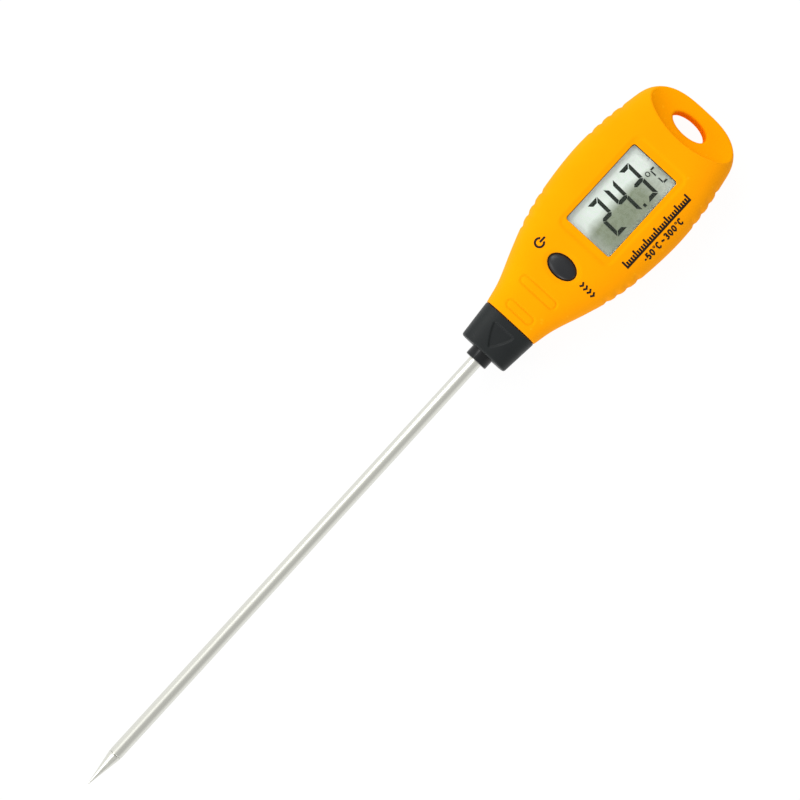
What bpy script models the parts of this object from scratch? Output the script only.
"""Digital soil thermometer with a stab-in steel probe.

The instrument lies on its back: +Y runs from the probe point to the hanging
eye, +Z comes out of the display, and the flat back rests on z = 0.
Sizes below are millimetres; MM turns them into Blender's metres.
"""
import math

import bmesh
import bpy
from mathutils import Matrix, Vector

MM = 0.001
GAP = 0.3                      # clearance kept between neighbouring pieces
FAR = 200.0                    # beyond the whole body, for tools that take a half away
OVER = 30.0                    # above the front face, for tools that come out there
UNDER = -5.0                   # below the back face

# ---- driving dimensions, mm -------------------------------------------------
LENGTH = 318.1                 # probe point to top of hanging eye
HANDLE_LENGTH = 100.1
COLLAR_LENGTH = 14.2
AXIS_Z = 13.0                  # probe axis above the back face
WALL = 2.2                     # shell wall

POINT_Y = -LENGTH / 2
CROWN_Y = LENGTH / 2
NECK_Y = CROWN_Y - HANDLE_LENGTH
COLLAR_Y = NECK_Y - COLLAR_LENGTH

# Handle outline: (distance from the neck, half width), then the crown rounds it off.
HALF_WIDTHS = (
    (0.0, 11.05), (8.0, 12.9), (20.0, 17.4), (30.0, 20.75), (40.0, 22.9),
    (58.5, 24.65), (74.5, 23.8), (86.4, 21.7), (93.0, 20.95), (HANDLE_LENGTH, 20.0),
)
FRONT_HEIGHTS = (
    (0.0, 9.3), (10.0, 11.0), (20.0, 12.2), (32.0, 12.8), (48.0, 13.0), (HANDLE_LENGTH, 13.0),
)
REAR_HEIGHTS = ((0.0, 9.3), (6.0, 12.0), (12.0, 13.4), (20.0, 13.7), (HANDLE_LENGTH, 13.7))
SECTION_POWER = 3.2            # superellipse power of the handle's section
CROWN_START = 84.0
CROWN_WIDTH_POWER = 3.0
CROWN_HEIGHT_POWER = 4.0
CROWN_FLAT = (2.0, 4.0)        # half width and half height where the crown ends
GRIP_GROOVES = (28.1, 32.3, 36.4, 41.0, 68.2, 72.7, 77.1, 81.6)
GROOVE_DEPTH = 0.45
GROOVE_HALF_PITCH = 1.5
PLAIN_STATIONS = (0.0, 3.0, 6.0, 9.0, 12.0, 16.0, 20.0, 24.0, 46.0, 52.0, 58.5, 63.5, 86.4)
CAVITY_STATIONS = (2.5, 6.0, 10.0, 15.0, 20.0, 26.0, 32.0, 40.0, 50.0, 60.0, 70.0, 78.0, 82.0)
OUTLINE_STEPS = 40             # points round a section of the outside
ROOM_STEPS = 32                # points round a section of the inside

# Scooped hanging eye: a cove round an arc leads down to the flat of the eye
SCOOP_RADIUS = 36.0            # plan radius of the scoop's edge
SCOOP_EDGE_Y = NECK_Y + 84.85
SCOOP_RUN = 9.0                # length of the cove, from the edge to the flat
SCOOP_SWEEP = 48.0             # degrees of arc to each side
SCOOP_INNER_RADIUS = 10.0      # past the crown
EYE_HALF_THICKNESS = 5.75
EYE_Y = NECK_Y + 91.7
EYE_HOLE = (14.5, 6.6)

# Nose: spigot of the shells inside the black collar, half sizes across and up
SPIGOT = (8.05, 6.3)
SPIGOT_BORE = (6.45, 4.8)
SPIGOT_BORE_DEPTH = 8.0        # past the neck, into the cavity
SPIGOT_ROOT = (9.1, 7.4)
SPIGOT_START_Y = COLLAR_Y + 4.1
SPIGOT_ROOT_Y = NECK_Y - 2.1
COLLAR_FRONT = (9.8, 8.3)
COLLAR_REAR = (11.0, 9.3)
COLLAR_EDGE = 0.6
COLLAR_WALL = 1.4
COLLAR_FLOOR = 1.8
ARROW_START = 2.6              # apex behind the collar's front face
ARROW_WIDTH = 9.0
ARROW_LENGTH = 8.3
ARROW_DEPTH = 0.4
NOSE_SEAL_OUTER = (8.95, 7.25)
NOSE_SEAL_INNER = (8.35, 6.6)
NOSE_SEAL_Y = (NECK_Y - 4.3, NECK_Y - 2.8)

# Probe
TUBE_RADIUS = 2.5
TUBE_BORE = 2.05
CONE_LENGTH = 14.0
POINT_RADIUS = 0.18
TIP_SPIGOT_LENGTH = 4.0
BUSH_EDGE = 0.5
SHOULDER_Y = POINT_Y + CONE_LENGTH
TUBE_START_Y = SHOULDER_Y + GAP
TUBE_END_Y = NECK_Y + 3.3
BUSH_RADIUS = 4.4
BUSH_FLANGE_RADIUS = 6.8
BUSH_START_Y = COLLAR_Y - 3.8
BEAD_RADIUS = 1.4
BEAD_HALF_LENGTH = 2.2
BEAD_Y = SHOULDER_Y + 8.0
WIRE_RADIUS = 0.45
WIRE_OFFSET = 0.75             # from the axis, inside the tube
WIRE_SPREAD = 2.0              # further out where the wires reach the board
WIRE_RISE = 1.7
SLEEVE_OUTER = (1.95, 1.2)
SLEEVE_INNER = (1.55, 0.8)
SLEEVE_Y = (TUBE_END_Y + 1.0, TUBE_END_Y + 8.0)
PADS_Y = TUBE_END_Y + 20.0     # where the wires end, under the board

# Display and board
WINDOW_Y = NECK_Y + 56.4
WINDOW = (20.0, 35.0)
WINDOW_CORNER = 1.0
LENS = (24.8, 39.2)            # flange of the window plate, trapped behind the opening
LENS_Z = (23.2, 24.4)
LENS_TOP_Z = 25.1              # raised pane that fills the opening
LCD = (25.2, 40.4)
LCD_Z = (20.1, 22.3)
LCD_CORNER = 0.5
LCD_FRAME_WALL = 1.1
LCD_FRAME_DROP = 0.5           # frame's rim below the cell's face
REFLECTOR_X = (-12.3, 10.9)    # clear of the contact strip
REFLECTOR_LENGTH = 39.6
STRIP_X = (11.3, 12.5)
STRIP_LENGTH = 36.0
BOARD_X = 14.0
BOARD_Y = (79.5, 137.8)
BOARD_Z = (15.5, 17.1)
UNDER_BOARD_Z = BOARD_Z[0] - GAP
OVER_BOARD_Z = BOARD_Z[1] + GAP
BLOB = ((4.6, 0.0), (4.3, 0.6), (3.2, 1.2), (0.0, 1.6))   # radius, drop below the board
BLOB_Y = 97.0
CRYSTAL_RADIUS = 1.0
CRYSTAL_LENGTH = 6.0
CRYSTAL_SPOT = (-8.0, 96.0)

# Button and switch
BUTTON_Y = NECK_Y + 25.7
BUTTON = (11.2, 7.3)
BUTTON_FLANGE = (13.4, 9.7)
BUTTON_FLANGE_Z = (21.9, 22.7)
BUTTON_CROWN = ((0.0, 25.2), (0.35, 25.55), (1.65, 25.9))  # inset of the rim, z
SWITCH_SIZE = 6.0
SWITCH_Z = (17.4, 20.9)
SWITCH_BORE_Z = 19.0
PLUNGER_RADIUS = 1.65
PLUNGER_Z = (20.1, 21.6)

# Battery well in the back
BATTERY_Y = 112.0
WELL_RADIUS = 12.4             # raised floor round the seat
WELL_Z = 5.8
CAP_SEAT = (10.3, 4.2)         # radius, depth
CAP_BORE = (8.6, 8.0)
CAP_RADIUS = 9.95
CAP_NECK_RADIUS = 8.2
CAP_Z = (0.4, 2.1, 5.0)        # outer face, shoulder, inner face
CAP_CHAMFER = 0.4
COIN_SLOT = (13.0, 1.8, 1.6)   # length, width, z of its floor
CAP_SEAL_RADIUS = 9.1
CAP_SEAL_SECTION = 0.6
CAP_SEAL_Z = 3.15
CELL_RADIUS = 5.8
CELL_FACE_RADIUS = 4.9
CELL_Z = (5.4, 10.1, 10.8)     # bottom, top of the can, raised face
HOLDER_RADII = (6.1, 7.4)
HOLDER_Z = 6.2
HOLDER_SLOT = 3.6
POSITIVE_X = (6.15, 6.55)
POSITIVE_WIDTH = 2.8
POSITIVE_Z = (6.6, 13.2)
LEAF_X = (-4.5, 4.9)
LEAF_Z = (11.1, UNDER_BOARD_Z)
LEAF_THICKNESS = 0.4
LEAF_WIDTH = 4.0

# Screws: places, and the posts that take them
SHELL_SCREWS = ((-17.2, 97.0), (17.2, 97.0), (-17.2, 131.0), (17.2, 131.0))
FRONT_POST_RADIUS = 2.6
REAR_POST_RADIUS = 3.4
SHELL_PILOT_RADIUS = 1.4
SHELL_PILOT_Z = 20.0
HEAD_WAY = (2.4, 4.5)          # radius, depth
SHELL_HEAD_RADIUS = 2.05
SHELL_HEAD_Z = (2.8, 3.3, 4.2)
SHELL_SHANK_RADIUS = 1.1
SHELL_SHANK_Z = (18.6, 19.4)
BOARD_SCREWS = ((-9.5, 87.0), (9.5, 87.0))
BOARD_BOSS_RADIUS = 2.2
BOARD_PILOT_RADIUS = 1.1
BOARD_PILOT_Z = 21.5
BOARD_HEAD_RADIUS = 1.8
BOARD_HEAD_Z = (13.9, UNDER_BOARD_Z)
BOARD_SHANK_RADIUS = 0.8
BOARD_SHANK_Z = (20.6, 21.0)


# ---- helpers ----------------------------------------------------------------
def clear_scene():
    """Start from an empty scene."""
    for old in list(bpy.data.objects):
        bpy.data.objects.remove(old, do_unlink=True)


def material(name, colour, roughness, metallic=0.0):
    """A Principled material with one colour."""
    made = bpy.data.materials.new(name)
    made.use_nodes = True
    shader = made.node_tree.nodes["Principled BSDF"]
    shader.inputs["Base Color"].default_value = (*colour, 1.0)
    shader.inputs["Roughness"].default_value = roughness
    shader.inputs["Metallic"].default_value = metallic
    return made


def finish_mesh(name, mesh_data, smooth_angle=35.0):
    """Turn a bmesh in millimetres into an object in metres with outward faces."""
    bmesh.ops.remove_doubles(mesh_data, verts=mesh_data.verts, dist=1e-5)
    bmesh.ops.recalc_face_normals(mesh_data, faces=mesh_data.faces)
    bmesh.ops.scale(mesh_data, vec=(MM, MM, MM), verts=mesh_data.verts)
    mesh = bpy.data.meshes.new(name)
    mesh_data.to_mesh(mesh)
    mesh_data.free()
    mesh.shade_smooth()
    mesh.set_sharp_from_angle(angle=math.radians(smooth_angle))
    made = bpy.data.objects.new(name, mesh)
    bpy.context.scene.collection.objects.link(made)
    return made


def loft(name, rings):
    """A closed solid through rings of equally many points, capped at both ends."""
    data = bmesh.new()
    rows = [[data.verts.new(point) for point in ring] for ring in rings]
    count = len(rows[0])
    for row, following in zip(rows, rows[1:]):
        for i in range(count):
            j = (i + 1) % count
            data.faces.new((row[i], row[j], following[j], following[i]))
    data.faces.new(rows[0])
    data.faces.new(rows[-1])
    return finish_mesh(name, data)


def ring_body(name, outlines):
    """A closed tube: the outlines follow each other round the wall and close up."""
    data = bmesh.new()
    rows = [[data.verts.new(point) for point in ring] for ring in outlines]
    count = len(rows[0])
    for k, row in enumerate(rows):
        following = rows[(k + 1) % len(rows)]
        for i in range(count):
            j = (i + 1) % count
            data.faces.new((row[i], row[j], following[j], following[i]))
    return finish_mesh(name, data)


def box(name, x_range, y_range, z_range):
    """An axis-aligned block."""
    corners = [(x, y) for x, y in zip((x_range[0], x_range[1], x_range[1], x_range[0]),
                                      (y_range[0], y_range[0], y_range[1], y_range[1]))]
    return loft(name, [[(x, y, z) for x, y in corners] for z in z_range])


def turned(name, profile, axis, centre, steps=28):
    """Revolve (radius, distance) points about an axis through centre.

    A profile that starts and ends at radius 0 makes a solid; any other profile
    is closed on itself and makes a ring.
    """
    data = bmesh.new()
    frames = {"Y": ((1, 0, 0), (0, 0, 1), (0, 1, 0)), "Z": ((1, 0, 0), (0, 1, 0), (0, 0, 1))}
    side, other, along = (Vector(direction) for direction in frames[axis])
    rows = []
    for radius, distance in profile:
        spot = Vector(centre) + along * distance
        if radius == 0.0:
            rows.append([data.verts.new(spot)] * steps)
            continue
        turns = [2 * math.pi * (i + 0.5) / steps for i in range(steps)]
        rows.append([data.verts.new(spot + (side * math.cos(t) + other * math.sin(t)) * radius)
                     for t in turns])
    solid = profile[0][0] == 0.0
    last = len(rows) - 1 if solid else len(rows)
    for k in range(last):
        row, following = rows[k], rows[(k + 1) % len(rows)]
        for i in range(steps):
            j = (i + 1) % steps
            corners = dict.fromkeys((row[i], row[j], following[j], following[i]))
            data.faces.new(tuple(corners))
    return finish_mesh(name, data)


def cylinder(name, radius, centre_xy, z_range, steps=24):
    """An upright solid cylinder."""
    profile = [(0.0, z_range[0]), (radius, z_range[0]), (radius, z_range[1]), (0.0, z_range[1])]
    return turned(name, profile, "Z", (*centre_xy, 0.0), steps)


def boolean(target, tool, operation):
    """Apply an exact Boolean and discard the tool."""
    modifier = target.modifiers.new("boolean", "BOOLEAN")
    modifier.operation = operation
    modifier.solver = "EXACT"
    modifier.object = tool
    depsgraph = bpy.context.evaluated_depsgraph_get()
    result = bpy.data.meshes.new_from_object(target.evaluated_get(depsgraph))
    target.modifiers.remove(modifier)
    old = target.data
    target.data = result
    bpy.data.meshes.remove(old)
    bpy.data.objects.remove(tool, do_unlink=True)


def cut(target, *tools):
    """Take each tool away from the target."""
    for tool in tools:
        boolean(target, tool, "DIFFERENCE")


def add(target, *tools):
    """Merge each tool into the target."""
    for tool in tools:
        boolean(target, tool, "UNION")


def paint(made, finish):
    """Give an object its one material."""
    made.data.materials.clear()
    made.data.materials.append(finish)
    return made


def set_origin(made, point):
    """Move an object's origin to a point in millimetres, leaving its shape in place."""
    place = Vector(point) * MM
    made.data.transform(Matrix.Translation(-place))
    made.location = place
    return made


def smooth_value(points, at):
    """Value of the smooth curve through (position, value) points (Hermite, finite slopes)."""
    slopes = []
    for i in range(len(points)):
        before = points[max(i - 1, 0)]
        after = points[min(i + 1, len(points) - 1)]
        slopes.append((after[1] - before[1]) / (after[0] - before[0]))
    for i in range(len(points) - 1):
        (x0, y0), (x1, y1) = points[i], points[i + 1]
        if at <= x1:
            run = x1 - x0
            t = min(max((at - x0) / run, 0.0), 1.0)
            bend = t * (1 - t) ** 2 * slopes[i] * run - t * t * (1 - t) * slopes[i + 1] * run
            return y0 + (y1 - y0) * (3 * t * t - 2 * t ** 3) + bend
    return points[-1][1]


def squircle(half_x, half_up, half_down, y, steps, power=SECTION_POWER, floor=None):
    """A superellipse ring across the axis at a given y."""
    ring = []
    for i in range(steps):
        angle = 2 * math.pi * (i + 0.5) / steps
        across, rise = math.cos(angle), math.sin(angle)
        x = half_x * math.copysign(abs(across) ** (2 / power), across)
        half = half_up if rise > 0 else half_down
        z = AXIS_Z + half * math.copysign(abs(rise) ** (2 / power), rise)
        ring.append((x, y, z if floor is None else max(z, floor)))
    return ring


def ellipse(width, length, z, centre_y, steps=28):
    """A flat elliptical ring at height z."""
    turns = [2 * math.pi * (i + 0.5) / steps for i in range(steps)]
    return [(width / 2 * math.cos(t), centre_y + length / 2 * math.sin(t), z) for t in turns]


# ---- handle shape -----------------------------------------------------------
def crown(distance, power):
    """Factor that closes the handle's end."""
    if distance <= CROWN_START:
        return 1.0
    t = (distance - CROWN_START) / (HANDLE_LENGTH - CROWN_START)
    return max(1.0 - t ** power, 0.0) ** (1.0 / power)


def groove(distance):
    """Depth of the nearest grip groove."""
    nearest = min(abs(distance - place) for place in GRIP_GROOVES)
    if nearest >= GROOVE_HALF_PITCH:
        return 0.0
    return GROOVE_DEPTH * (0.5 + 0.5 * math.cos(math.pi * nearest / GROOVE_HALF_PITCH))


def handle_ring(distance, steps, inset=0.0, floor=None):
    """Section of the handle, or of its cavity when inset by the wall."""
    width = smooth_value(HALF_WIDTHS, distance) * crown(distance, CROWN_WIDTH_POWER)
    up = smooth_value(FRONT_HEIGHTS, distance) * crown(distance, CROWN_HEIGHT_POWER)
    down = smooth_value(REAR_HEIGHTS, distance) * crown(distance, CROWN_HEIGHT_POWER)
    if inset == 0.0:
        width -= groove(distance)
    if inset > 0.0:
        down = min(down, AXIS_Z)
    return squircle(width - inset, up - inset, down - inset, NECK_Y + distance, steps, floor=floor)


def handle_stations():
    """Distances from the neck where the outer surface gets a section."""
    grooves = []
    for place in GRIP_GROOVES:
        grooves += [place - GROOVE_HALF_PITCH, place, place + GROOVE_HALF_PITCH]
    span = HANDLE_LENGTH - CROWN_START
    rounding = [CROWN_START + span * math.sin(math.pi / 2 * k / 9) for k in range(2, 9)]
    return sorted({*PLAIN_STATIONS, *grooves, *rounding})


def handle_solid(name):
    """The whole handle as one solid with its spigot, before it is hollowed and split."""
    steps = OUTLINE_STEPS
    rings = [handle_ring(distance, steps, floor=0.0) for distance in handle_stations()]
    rings.append(squircle(*CROWN_FLAT, CROWN_FLAT[1], CROWN_Y, steps))
    body = loft(name, rings)
    spigot = loft("spigot", [
        squircle(*SPIGOT, SPIGOT[1], SPIGOT_START_Y, steps),
        squircle(*SPIGOT, SPIGOT[1], SPIGOT_ROOT_Y, steps),
        squircle(*SPIGOT_ROOT, SPIGOT_ROOT[1], SPIGOT_ROOT_Y, steps),
        squircle(*SPIGOT_ROOT, SPIGOT_ROOT[1], NECK_Y + WALL, steps),
    ])
    add(body, spigot)
    return body


def cavity():
    """The room inside the shells."""
    return loft("cavity", [handle_ring(distance, ROOM_STEPS, inset=WALL) for distance in CAVITY_STATIONS])


def scoop(side):
    """Cutter for the hollow in front of (side +1) or behind (side -1) the hanging eye."""
    centre_y = SCOOP_EDGE_Y + SCOOP_RADIUS
    drop = AXIS_Z - EYE_HALF_THICKNESS
    profile = [(SCOOP_INNER_RADIUS, OVER), (SCOOP_RADIUS, OVER)]
    for k in range(7):
        turn = math.pi / 2 * (1 - k / 6)
        profile.append((SCOOP_RADIUS - SCOOP_RUN * (1 - math.sin(turn)),
                        EYE_HALF_THICKNESS + drop * (1 - math.cos(turn))))
    profile.append((SCOOP_INNER_RADIUS, EYE_HALF_THICKNESS))
    sections = []
    for k in range(17):
        turn = math.radians(SCOOP_SWEEP * (k / 8 - 1))
        sections.append([(radius * math.sin(turn), centre_y - radius * math.cos(turn),
                          AXIS_Z + side * height) for radius, height in profile])
    return loft("scoop", sections)


def eye_hole():
    """Cutter for the oval hole through the hanging eye."""
    return loft("eye_hole", [ellipse(*EYE_HOLE, z, EYE_Y, 32) for z in (UNDER, OVER)])


def spigot_bore():
    """Cutter that opens the nose into the cavity."""
    return loft("spigot_bore", [squircle(*SPIGOT_BORE, SPIGOT_BORE[1], y, ROOM_STEPS)
                                for y in (COLLAR_Y, NECK_Y + SPIGOT_BORE_DEPTH)])


# ---- shells -----------------------------------------------------------------
def plate_ring(width, length, corner, z, centre_y):
    """Outline of a rounded rectangle at height z."""
    outline = []
    for turn, side_x, side_y in ((0, 1, 1), (1, -1, 1), (2, -1, -1), (3, 1, -1)):
        for k in range(4):
            angle = math.pi / 2 * (turn + k / 3)
            outline.append((side_x * (width / 2 - corner) + corner * math.cos(angle),
                            centre_y + side_y * (length / 2 - corner) + corner * math.sin(angle), z))
    return outline


def rounded_plate(name, width, length, corner, z_range, centre_y):
    """A flat rounded rectangle with a thickness."""
    return loft(name, [plate_ring(width, length, corner, z, centre_y) for z in z_range])


def front_shell():
    """Front half: window, button hole, screw posts and board bosses."""
    room = cavity()
    for spot in SHELL_SCREWS:
        cut(room, cylinder("post", FRONT_POST_RADIUS, spot, (AXIS_Z - 1.0, OVER), 20))
    for spot in BOARD_SCREWS:
        cut(room, cylinder("boss", BOARD_BOSS_RADIUS, spot, (OVER_BOARD_Z, OVER), 16))
    shell = handle_solid("front_shell")
    cut(shell, room, spigot_bore(), scoop(1), eye_hole())
    cut(shell, box("rear_half", (-FAR, FAR), (-FAR, FAR), (-FAR, AXIS_Z + GAP / 2)))
    cut(shell, rounded_plate("window", *WINDOW, WINDOW_CORNER, (LENS_Z[0], OVER), WINDOW_Y))
    pocket = (LENS[0] + 2 * GAP, LENS[1] + 2 * GAP)
    cut(shell, rounded_plate("lens_pocket", *pocket, WINDOW_CORNER, (LCD_Z[0], LENS_Z[1] + GAP), WINDOW_Y))
    hole = (BUTTON[0] + 2 * GAP, BUTTON[1] + 2 * GAP)
    cut(shell, loft("button_hole", [ellipse(*hole, z, BUTTON_Y) for z in (BUTTON_FLANGE_Z[0], OVER)]))
    for spot in SHELL_SCREWS:
        cut(shell, cylinder("pilot", SHELL_PILOT_RADIUS, spot, (AXIS_Z - 1.0, SHELL_PILOT_Z), 12))
    for spot in BOARD_SCREWS:
        cut(shell, cylinder("board_pilot", BOARD_PILOT_RADIUS, spot, (BOARD_Z[0], BOARD_PILOT_Z), 12))
    return shell


def rear_shell():
    """Rear half: flat back, battery well, screw posts with counterbores."""
    room = cavity()
    for spot in SHELL_SCREWS:
        cut(room, cylinder("post", REAR_POST_RADIUS, spot, (UNDER, AXIS_Z + 1.0), 20))
    cut(room, cylinder("well", WELL_RADIUS, (0.0, BATTERY_Y), (UNDER, WELL_Z), 36))
    shell = handle_solid("rear_shell")
    cut(shell, room, spigot_bore(), scoop(-1), eye_hole())
    cut(shell, box("front_half", (-FAR, FAR), (-FAR, FAR), (AXIS_Z - GAP / 2, FAR)))
    for spot in SHELL_SCREWS:
        cut(shell, stepped_way("screw_way", HEAD_WAY, (SHELL_PILOT_RADIUS, AXIS_Z + 1.0), spot, 16))
    cut(shell, stepped_way("battery_way", CAP_SEAT, CAP_BORE, (0.0, BATTERY_Y), 36))
    return shell


def stepped_way(name, mouth, throat, spot, steps):
    """Cutter from below the back: a wide mouth, then a narrower throat, each (radius, top z)."""
    profile = [(0.0, UNDER), (mouth[0], UNDER), mouth, (throat[0], mouth[1]), throat, (0.0, throat[1])]
    return turned(name, profile, "Z", (*spot, 0.0), steps)


# ---- nose and probe ---------------------------------------------------------
def nose_collar():
    """Black end cap over the spigot, with a sunk arrow pointing to the probe point."""
    rear_y = NECK_Y - GAP
    floor_y = COLLAR_Y + COLLAR_FLOOR
    share = COLLAR_FLOOR / (rear_y - COLLAR_Y)
    inner_floor = [a + (b - a) * share - COLLAR_WALL for a, b in zip(COLLAR_FRONT, COLLAR_REAR)]
    inner_rear = [size - COLLAR_WALL for size in COLLAR_REAR]
    rim = [size - COLLAR_EDGE for size in COLLAR_FRONT]
    shape = [(*rim, COLLAR_Y), (*COLLAR_FRONT, COLLAR_Y + COLLAR_EDGE), (*COLLAR_REAR, rear_y)]
    body = loft("nose_collar", [squircle(x, z, z, y, OUTLINE_STEPS) for x, z, y in shape])
    shape = [(*inner_floor, floor_y), (*inner_rear, rear_y), (*inner_rear, NECK_Y + GAP)]
    hollow = loft("hollow", [squircle(x, z, z, y, OUTLINE_STEPS) for x, z, y in shape])
    way = BUSH_RADIUS + GAP
    profile = [(0.0, BUSH_START_Y), (way, BUSH_START_Y), (way, SPIGOT_START_Y), (0.0, SPIGOT_START_Y)]
    cut(body, hollow, turned("hole", profile, "Y", (0.0, 0.0, AXIS_Z), 32))
    apex_y = COLLAR_Y + ARROW_START
    top = AXIS_Z + COLLAR_FRONT[1]
    slope = (COLLAR_REAR[1] - COLLAR_FRONT[1]) / COLLAR_LENGTH
    base_y = apex_y + ARROW_LENGTH
    arrow = [(0.0, apex_y), (ARROW_WIDTH / 2, base_y), (-ARROW_WIDTH / 2, base_y)]
    cutter = [[(x, y, top + slope * (y - COLLAR_Y) + rise) for x, y in arrow]
              for rise in (-ARROW_DEPTH, ARROW_LENGTH)]
    cut(body, loft("arrow", cutter))
    return body


def flat_ring(name, outer, inner, y_range, steps):
    """Short squircle tube along the axis, with half sizes across and up."""
    start, end = y_range
    return ring_body(name, [
        squircle(*outer, outer[1], start, steps), squircle(*outer, outer[1], end, steps),
        squircle(*inner, inner[1], end, steps), squircle(*inner, inner[1], start, steps),
    ])


def nose_o_ring():
    """Seal between the spigot and the collar."""
    return flat_ring("nose_o_ring", NOSE_SEAL_OUTER, NOSE_SEAL_INNER, NOSE_SEAL_Y, 32)


def probe_bush():
    """Round bush that grips the probe tube; its flange is trapped inside the collar."""
    bore = TUBE_RADIUS + GAP
    flange = (COLLAR_Y + COLLAR_FLOOR + GAP, SPIGOT_START_Y - GAP)
    profile = [
        (bore, BUSH_START_Y), (BUSH_RADIUS - BUSH_EDGE, BUSH_START_Y),
        (BUSH_RADIUS, BUSH_START_Y + BUSH_EDGE), (BUSH_RADIUS, flange[0]),
        (BUSH_FLANGE_RADIUS, flange[0]), (BUSH_FLANGE_RADIUS, flange[1]),
        (BUSH_RADIUS, flange[1]), (BUSH_RADIUS, NECK_Y), (bore, NECK_Y),
    ]
    return turned("probe_bush", profile, "Y", (0.0, 0.0, AXIS_Z), 32)


def probe_tube():
    """Thin-walled stainless tube, open at both ends."""
    profile = [(TUBE_BORE, TUBE_START_Y), (TUBE_RADIUS, TUBE_START_Y),
               (TUBE_RADIUS, TUBE_END_Y), (TUBE_BORE, TUBE_END_Y)]
    return turned("probe_tube", profile, "Y", (0.0, 0.0, AXIS_Z), 32)


def probe_tip():
    """Solid ground point with a spigot that fits the tube."""
    fit, end = TUBE_BORE - GAP, SHOULDER_Y + TIP_SPIGOT_LENGTH
    profile = [
        (0.0, POINT_Y), (POINT_RADIUS, POINT_Y + POINT_RADIUS), (TUBE_RADIUS, SHOULDER_Y),
        (fit, SHOULDER_Y), (fit, end), (0.0, end),
    ]
    return turned("probe_tip", profile, "Y", (0.0, 0.0, AXIS_Z), 32)


def sensor_bead():
    """Glass-coated sensing bead close behind the point."""
    turns = [math.pi * k / 8 for k in range(1, 8)]
    rounding = [(BEAD_RADIUS * math.sin(t), -BEAD_HALF_LENGTH * math.cos(t)) for t in turns]
    profile = [(0.0, -BEAD_HALF_LENGTH), *rounding, (0.0, BEAD_HALF_LENGTH)]
    return turned("sensor_bead", profile, "Y", (0.0, BEAD_Y, AXIS_Z), 16)


def wire(name, route, radius):
    """Insulated wire along a hand-set route."""
    curve = bpy.data.curves.new(name, "CURVE")
    curve.dimensions = "3D"
    curve.bevel_depth = radius * MM
    curve.bevel_resolution = 1
    curve.use_fill_caps = True
    spline = curve.splines.new("POLY")
    spline.points.add(len(route) - 1)
    for spot, place in zip(spline.points, route):
        spot.co = (*(value * MM for value in place), 1.0)
    made = bpy.data.objects.new(name, curve)
    bpy.context.scene.collection.objects.link(made)
    return made


def sensor_wires():
    """The two leads from the bead, through the tube and sleeve, to pads under the board."""
    start = BEAD_Y + BEAD_HALF_LENGTH + GAP
    sleeve_end = SLEEVE_Y[1] + 1.0
    wires = []
    for side, tag in ((-1, "a"), (1, "b")):
        route = [(side * WIRE_OFFSET, y, AXIS_Z) for y in (start, COLLAR_Y, TUBE_END_Y, sleeve_end)]
        for k in range(1, 7):
            share = k / 6
            ease = 3 * share ** 2 - 2 * share ** 3
            route.append((side * (WIRE_OFFSET + WIRE_SPREAD * ease),
                          sleeve_end + (PADS_Y - sleeve_end) * share, AXIS_Z + WIRE_RISE * ease))
        wires.append(wire(f"sensor_wire_{tag}", route, WIRE_RADIUS))
    return wires


def wire_sleeve():
    """Shrink sleeve that holds the two wires together behind the tube."""
    return flat_ring("wire_sleeve", SLEEVE_OUTER, SLEEVE_INNER, SLEEVE_Y, 20)


# ---- display, board, switch -------------------------------------------------
def lcd_lens():
    """Clear window plate: a flange behind the opening and a raised pane that fills it."""
    pane = (WINDOW[0] - 2 * GAP, WINDOW[1] - 2 * GAP, WINDOW_CORNER - GAP)
    return loft("lcd_lens", [
        plate_ring(*LENS, WINDOW_CORNER, LENS_Z[0], WINDOW_Y),
        plate_ring(*LENS, WINDOW_CORNER, LENS_Z[1], WINDOW_Y),
        plate_ring(*pane, LENS_Z[1], WINDOW_Y),
        plate_ring(*pane, LENS_TOP_Z, WINDOW_Y),
    ])


def lcd_glass():
    """The display cell."""
    return rounded_plate("lcd_glass", *LCD, LCD_CORNER, LCD_Z, WINDOW_Y)


def lcd_reflector():
    """Reflector sheet under the display cell, clear of the contact strip."""
    top = LCD_Z[0] - GAP
    half = REFLECTOR_LENGTH / 2
    return box("lcd_reflector", REFLECTOR_X, (WINDOW_Y - half, WINDOW_Y + half), (top - GAP, top))


def lcd_frame():
    """Frame that seats the display cell on the board."""
    inner = (LCD[0] + 2 * GAP, LCD[1] + 2 * GAP)
    outer = [size + 2 * LCD_FRAME_WALL for size in inner]
    z_range = (OVER_BOARD_Z, LCD_Z[1] - LCD_FRAME_DROP)
    frame = rounded_plate("lcd_frame", *outer, 2 * LCD_CORNER, z_range, WINDOW_Y)
    cut(frame, rounded_plate("opening", *inner, LCD_CORNER, (BOARD_Z[0], OVER), WINDOW_Y))
    return frame


def zebra_strip():
    """Conductive rubber strip between board and display cell."""
    half = STRIP_LENGTH / 2
    return box("zebra_strip", STRIP_X, (WINDOW_Y - half, WINDOW_Y + half), (OVER_BOARD_Z, LCD_Z[0] - GAP))


def circuit_board():
    """Main board with two screw holes."""
    board = box("circuit_board", (-BOARD_X, BOARD_X), BOARD_Y, BOARD_Z)
    for spot in BOARD_SCREWS:
        cut(board, cylinder("board_hole", BOARD_PILOT_RADIUS, spot, (UNDER_BOARD_Z, OVER_BOARD_Z), 16))
    return board


def controller_blob():
    """Moulded drop over the controller chip, under the board."""
    profile = [(0.0, UNDER_BOARD_Z)] + [(radius, UNDER_BOARD_Z - drop) for radius, drop in BLOB]
    return turned("controller_blob", profile, "Z", (0.0, BLOB_Y, 0.0), 20)


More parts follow.
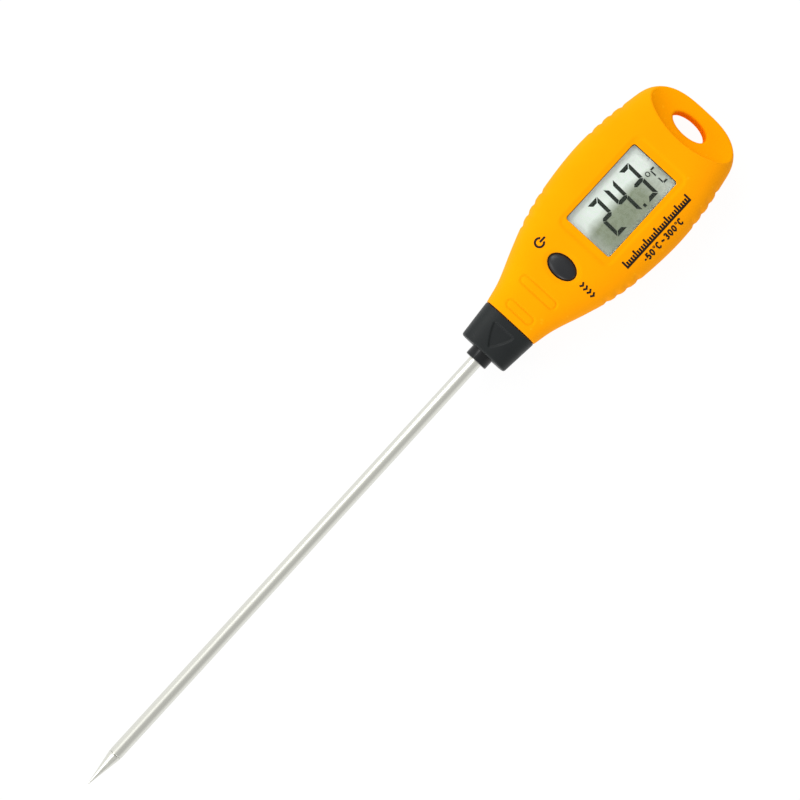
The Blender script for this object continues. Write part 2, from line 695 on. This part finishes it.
def timing_crystal():
    """Small can crystal beside the controller."""
    half = CRYSTAL_LENGTH / 2
    profile = [(0.0, -half), (CRYSTAL_RADIUS, -half), (CRYSTAL_RADIUS, half), (0.0, half)]
    return turned("timing_crystal", profile, "Y", (*CRYSTAL_SPOT, UNDER_BOARD_Z - CRYSTAL_RADIUS), 16)


def switch_body():
    """Tactile switch housing with a bore for its plunger."""
    half = SWITCH_SIZE / 2
    body = box("switch_body", (-half, half), (BUTTON_Y - half, BUTTON_Y + half), SWITCH_Z)
    cut(body, cylinder("bore", PLUNGER_RADIUS + GAP, (0.0, BUTTON_Y), (SWITCH_BORE_Z, OVER), 20))
    return body


def switch_plunger():
    """Plunger that the button pushes."""
    made = cylinder("switch_plunger", PLUNGER_RADIUS, (0.0, BUTTON_Y), PLUNGER_Z, 20)
    return set_origin(made, (0.0, BUTTON_Y, PLUNGER_Z[0]))


def button_cap():
    """Oval push button with a retaining flange inside the shell."""
    shape = [(*BUTTON_FLANGE, BUTTON_FLANGE_Z[0]), (*BUTTON_FLANGE, BUTTON_FLANGE_Z[1]),
             (*BUTTON, BUTTON_FLANGE_Z[1])]
    shape += [(BUTTON[0] - 2 * inset, BUTTON[1] - 2 * inset, z) for inset, z in BUTTON_CROWN]
    made = loft("button_cap", [ellipse(width, length, z, BUTTON_Y) for width, length, z in shape])
    return set_origin(made, (0.0, BUTTON_Y, BUTTON_FLANGE_Z[0]))


# ---- battery ----------------------------------------------------------------
def battery_holder():
    """Ring on the board that keeps the cell in place, with a slot for the side contact."""
    inner, outer = HOLDER_RADII
    profile = [(inner, HOLDER_Z), (outer, HOLDER_Z), (outer, UNDER_BOARD_Z), (inner, UNDER_BOARD_Z)]
    holder = turned("battery_holder", profile, "Z", (0.0, BATTERY_Y, 0.0), 32)
    half = HOLDER_SLOT / 2
    cut(holder, box("slot", (CELL_FACE_RADIUS, outer + 1.0), (BATTERY_Y - half, BATTERY_Y + half),
                    (UNDER, POSITIVE_Z[1] + GAP)))
    return holder


def battery_contact_positive():
    """Spring strip against the side of the cell."""
    half = POSITIVE_WIDTH / 2
    return box("battery_contact_positive", POSITIVE_X, (BATTERY_Y - half, BATTERY_Y + half), POSITIVE_Z)


def battery_contact_negative():
    """Bent leaf between the board and the cell."""
    (left, right), (low, high), thick = LEAF_X, LEAF_Z, LEAF_THICKNESS
    outline = [(left, low), (right, low), (right, high), (right - thick, high),
               (right - thick, low + thick), (left, low + thick)]
    return loft("battery_contact_negative", [[(x, BATTERY_Y + side * LEAF_WIDTH / 2, z) for x, z in outline]
                                             for side in (-1, 1)])


def battery_cell():
    """Button cell with its stepped face."""
    bottom, shoulder, top = CELL_Z
    profile = [(0.0, bottom), (CELL_RADIUS, bottom), (CELL_RADIUS, shoulder),
               (CELL_FACE_RADIUS, shoulder), (CELL_FACE_RADIUS, top), (0.0, top)]
    return turned("battery_cell", profile, "Z", (0.0, BATTERY_Y, 0.0), 28)


def battery_cap():
    """Coin-slot cap in the back."""
    face, shoulder, top = CAP_Z
    profile = [(0.0, face), (CAP_RADIUS - CAP_CHAMFER, face), (CAP_RADIUS, face + CAP_CHAMFER),
               (CAP_RADIUS, shoulder), (CAP_NECK_RADIUS, shoulder), (CAP_NECK_RADIUS, top), (0.0, top)]
    cap = turned("battery_cap", profile, "Z", (0.0, BATTERY_Y, 0.0), 36)
    length, width, slot_floor = COIN_SLOT
    cut(cap, box("coin_slot", (-length / 2, length / 2), (BATTERY_Y - width / 2, BATTERY_Y + width / 2),
                 (UNDER, slot_floor)))
    return set_origin(cap, (0.0, BATTERY_Y, 0.0))


def battery_cap_o_ring():
    """Seal round the neck of the cap."""
    turns = [2 * math.pi * k / 8 for k in range(8)]
    profile = [(CAP_SEAL_RADIUS + CAP_SEAL_SECTION * math.cos(t),
                CAP_SEAL_Z + CAP_SEAL_SECTION * math.sin(t)) for t in turns]
    made = turned("battery_cap_o_ring", profile, "Z", (0.0, BATTERY_Y, 0.0), 32)
    return set_origin(made, (0.0, BATTERY_Y, 0.0))


# ---- fasteners --------------------------------------------------------------
def shell_screw(number, spot):
    """Pan-head screw from the back into the front shell's post."""
    low, edge, under = SHELL_HEAD_Z
    shank_end, point = SHELL_SHANK_Z
    profile = [(0.0, low), (SHELL_HEAD_RADIUS - (edge - low), low), (SHELL_HEAD_RADIUS, edge),
               (SHELL_HEAD_RADIUS, under), (SHELL_SHANK_RADIUS, under),
               (SHELL_SHANK_RADIUS, shank_end), (0.0, point)]
    return turned(f"shell_screw_{number}", profile, "Z", (*spot, 0.0), 16)


def board_screw(number, spot):
    """Small screw that holds the board to its boss."""
    low, under = BOARD_HEAD_Z
    shank_end, point = BOARD_SHANK_Z
    profile = [(0.0, low), (BOARD_HEAD_RADIUS, low), (BOARD_HEAD_RADIUS, under),
               (BOARD_SHANK_RADIUS, under), (BOARD_SHANK_RADIUS, shank_end), (0.0, point)]
    return turned(f"board_screw_{number}", profile, "Z", (*spot, 0.0), 16)


# ---- assembly ---------------------------------------------------------------
def build():
    """Make every piece and give it its finish."""
    clear_scene()
    orange = material("orange_plastic", (1.0, 0.38, 0.01), 0.45)
    black = material("collar_black", (0.035, 0.038, 0.04), 0.5)
    gloss_black = material("bush_black", (0.025, 0.027, 0.03), 0.28)
    button_black = material("button_rubber", (0.04, 0.04, 0.045), 0.45)
    steel = material("probe_steel", (0.72, 0.71, 0.68), 0.25, 1.0)
    screw_steel = material("screw_steel", (0.6, 0.6, 0.6), 0.3, 1.0)
    rubber = material("seal_rubber", (0.03, 0.03, 0.03), 0.7)
    clear = material("window_clear", (0.85, 0.9, 0.88), 0.08)
    display = material("display_cell", (0.62, 0.66, 0.58), 0.2)
    reflector = material("reflector_film", (0.75, 0.77, 0.75), 0.35, 0.6)
    frame_white = material("frame_plastic", (0.75, 0.75, 0.72), 0.5)
    board_green = material("board_laminate", (0.03, 0.22, 0.09), 0.45)
    epoxy = material("chip_epoxy", (0.02, 0.02, 0.02), 0.4)
    contact = material("contact_metal", (0.8, 0.75, 0.6), 0.3, 1.0)
    cell_metal = material("cell_can", (0.75, 0.75, 0.74), 0.25, 1.0)
    bead_glass = material("sensor_coating", (0.15, 0.05, 0.03), 0.3)
    wire_red = material("wire_red", (0.6, 0.03, 0.02), 0.5)
    wire_white = material("wire_white", (0.8, 0.8, 0.78), 0.5)

    wire_a, wire_b = sensor_wires()
    finishes = [
        (front_shell(), orange), (rear_shell(), orange), (nose_collar(), black),
        (nose_o_ring(), rubber), (probe_bush(), gloss_black), (probe_tube(), steel),
        (probe_tip(), steel), (sensor_bead(), bead_glass), (wire_a, wire_red),
        (wire_b, wire_white), (wire_sleeve(), rubber), (lcd_lens(), clear),
        (lcd_glass(), display), (lcd_reflector(), reflector), (lcd_frame(), frame_white),
        (zebra_strip(), rubber), (circuit_board(), board_green), (controller_blob(), epoxy),
        (timing_crystal(), cell_metal), (switch_body(), epoxy), (switch_plunger(), contact),
        (button_cap(), button_black), (battery_holder(), frame_white),
        (battery_contact_positive(), contact), (battery_contact_negative(), contact),
        (battery_cell(), cell_metal), (battery_cap(), black), (battery_cap_o_ring(), rubber),
    ]
    for number, spot in enumerate(SHELL_SCREWS, 1):
        finishes.append((shell_screw(number, spot), screw_steel))
    for number, spot in enumerate(BOARD_SCREWS, 1):
        finishes.append((board_screw(number, spot), screw_steel))
    for made, finish in finishes:
        paint(made, finish)


build()
